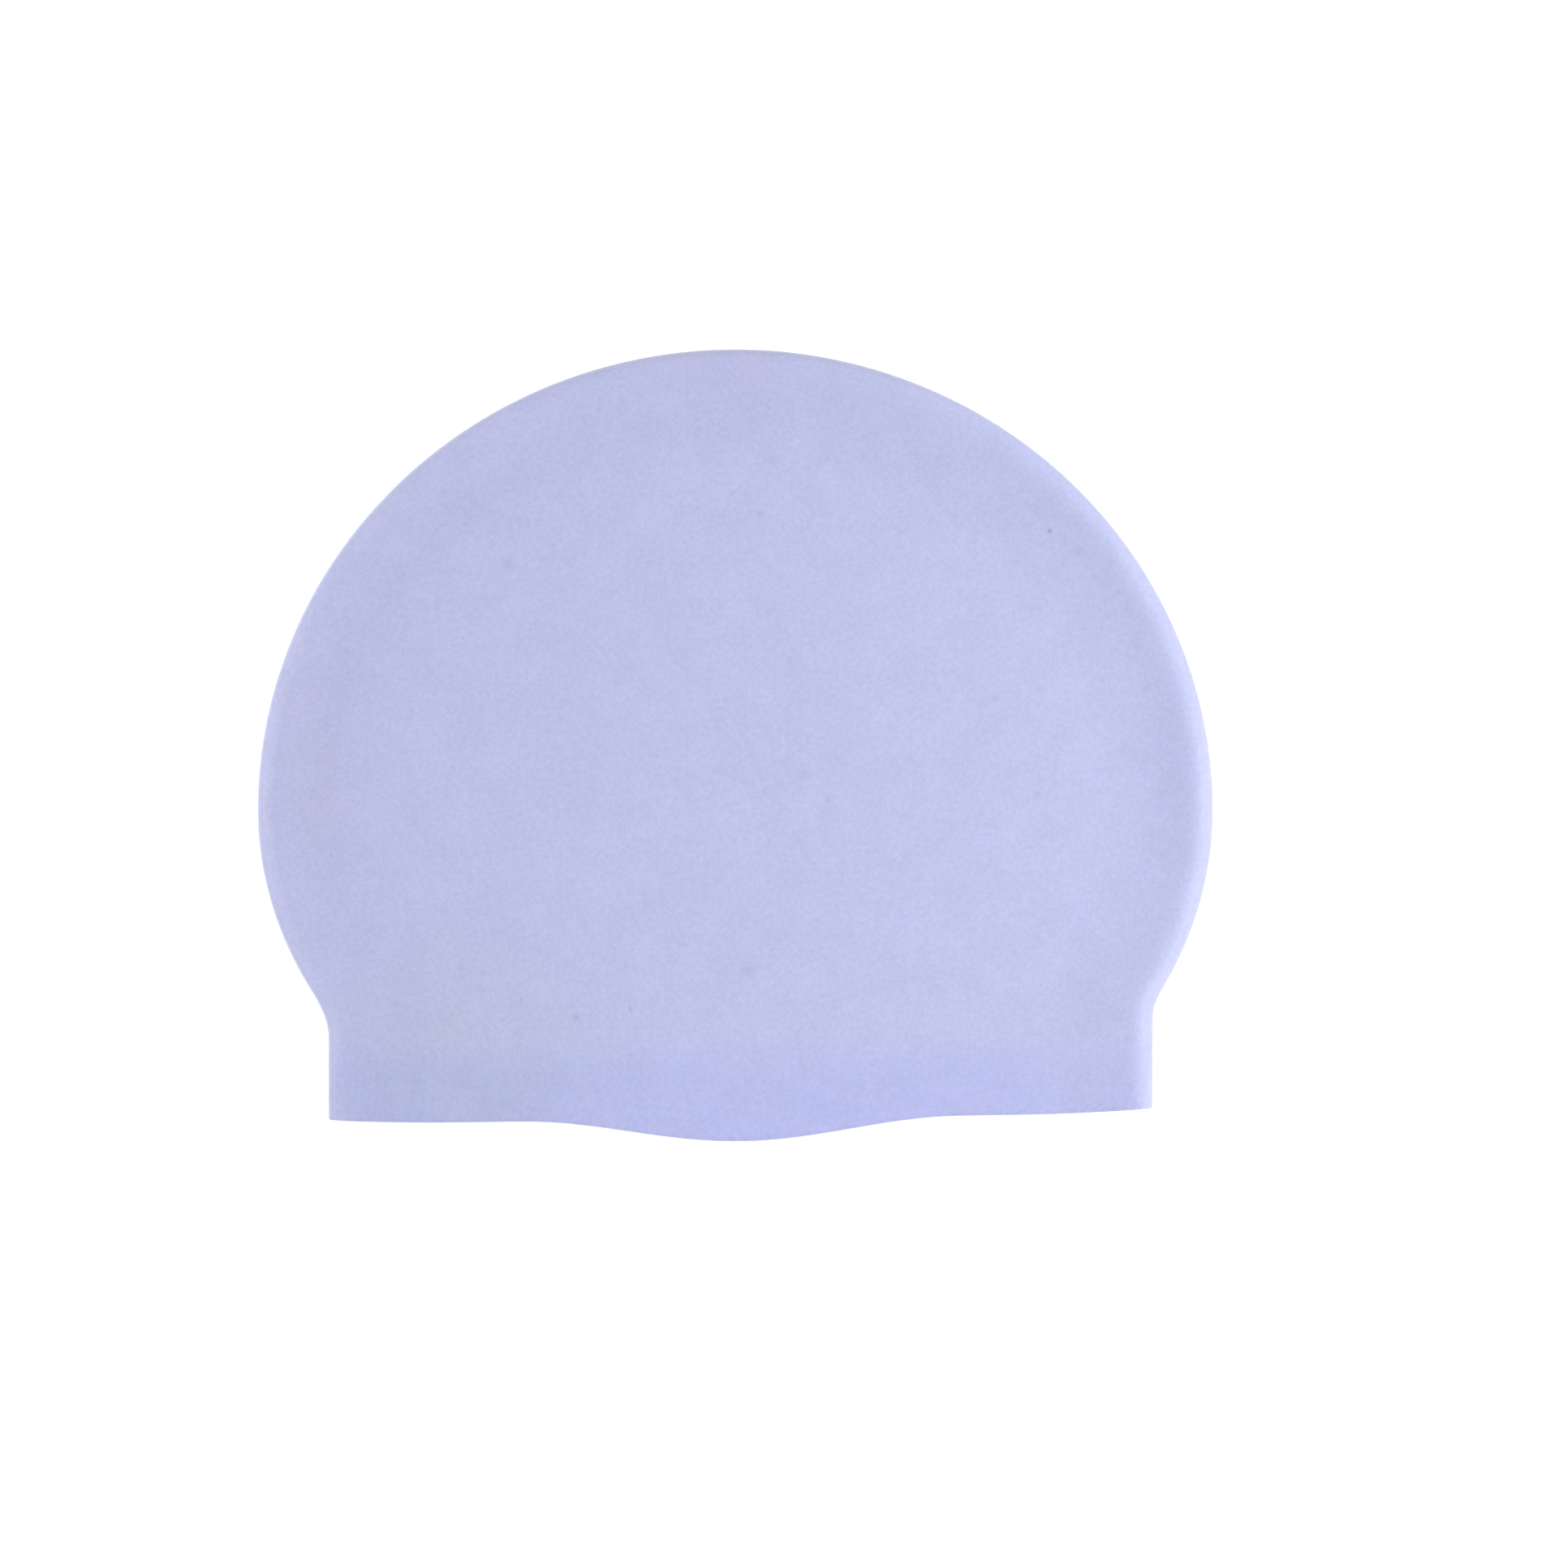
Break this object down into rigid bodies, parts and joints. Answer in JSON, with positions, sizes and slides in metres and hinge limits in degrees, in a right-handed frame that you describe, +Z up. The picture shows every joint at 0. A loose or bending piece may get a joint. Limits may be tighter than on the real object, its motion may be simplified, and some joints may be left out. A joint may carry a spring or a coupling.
{
  "type": "swim cap",
  "caption": "Plain dome-shaped swim cap lying flat, one hollow silicone shell with a rounded rim, a soft raised middle and a thicker hem with an ear-cover bulge.",
  "frame": {"origin": "centre of the bounding box in plan, on the surface that the cap lies on", "axes": "+Y from the hem to the crown, +X along the cap's width, +Z up from the surface it lies on"},
  "size_m": [0.2284, 0.189, 0.0145],
  "materials": {
    "silicone": "matte lavender moulded silicone with a fine satin grain"
  },
  "bodies": {
    "root": {"cap_shell": "silicone"}
  },
  "joints": []
}
